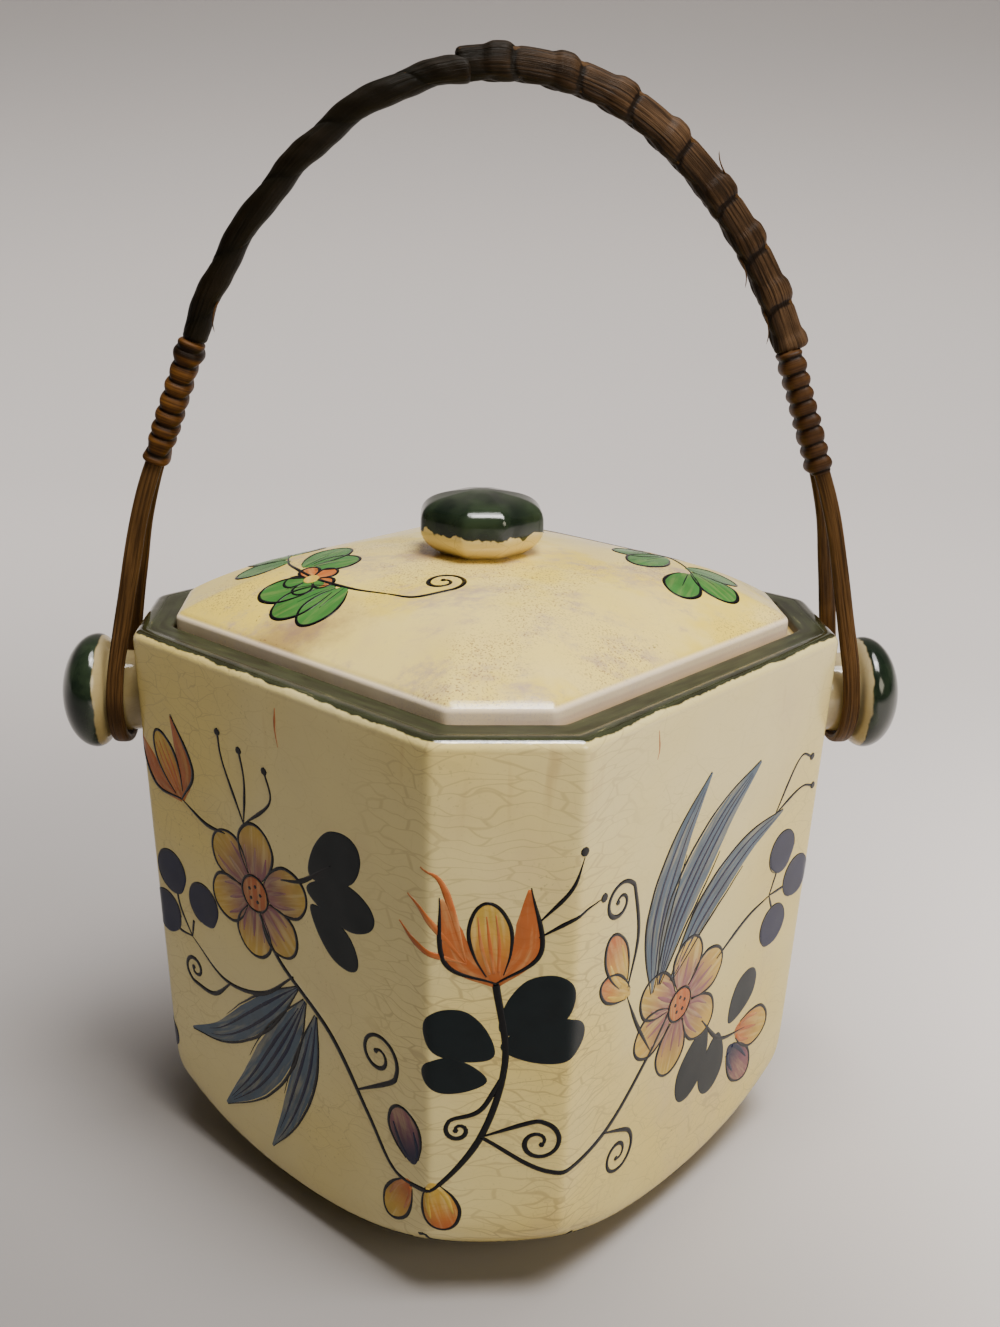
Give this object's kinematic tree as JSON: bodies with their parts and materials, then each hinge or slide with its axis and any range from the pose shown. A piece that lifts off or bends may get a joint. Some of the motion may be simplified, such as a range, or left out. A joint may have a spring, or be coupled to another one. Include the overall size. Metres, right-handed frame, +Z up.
{
  "type": "biscuit jar",
  "caption": "Square glazed earthenware biscuit jar with cut corners, a loose domed lid with a knob, mushroom lugs and a swinging bail of bound cane.",
  "frame": {"origin": "middle of the foot ring, on the plane that the jar stands on", "axes": "+Z up, the lugs and the bail's hinge line lie on X, a cut corner of the jar faces -Y"},
  "size_m": [0.1734, 0.1398, 0.2232],
  "materials": {
    "cream_glaze": "gloss",
    "green_glaze": "gloss",
    "cane": "satin",
    "wrap_cane": "satin",
    "binding_cane": "satin"
  },
  "bodies": {
    "jar": {"jar_body": "cream_glaze", "lug_left": "green_glaze", "lug_right": "green_glaze"},
    "lid": {"lid": "cream_glaze", "lid_knob": "green_glaze"},
    "bail": {"bail_cane_left": "cane", "bail_cane_right": "cane", "bail_lap_cane": "cane", "grip_wrap": "wrap_cane", "binding_left": "binding_cane", "binding_right": "binding_cane"}
  },
  "joints": [
    {"name": "lid_lift", "type": "slide", "parent": "jar", "child": "lid", "axis": [0, 0, 1], "range_m": [0, 0.03]},
    {"name": "bail_swing", "type": "hinge", "parent": "jar", "child": "bail", "pos_m": [0, 0, 0.0982], "axis": [1, 0, 0], "range_deg": [-138, 138]}
  ]
}
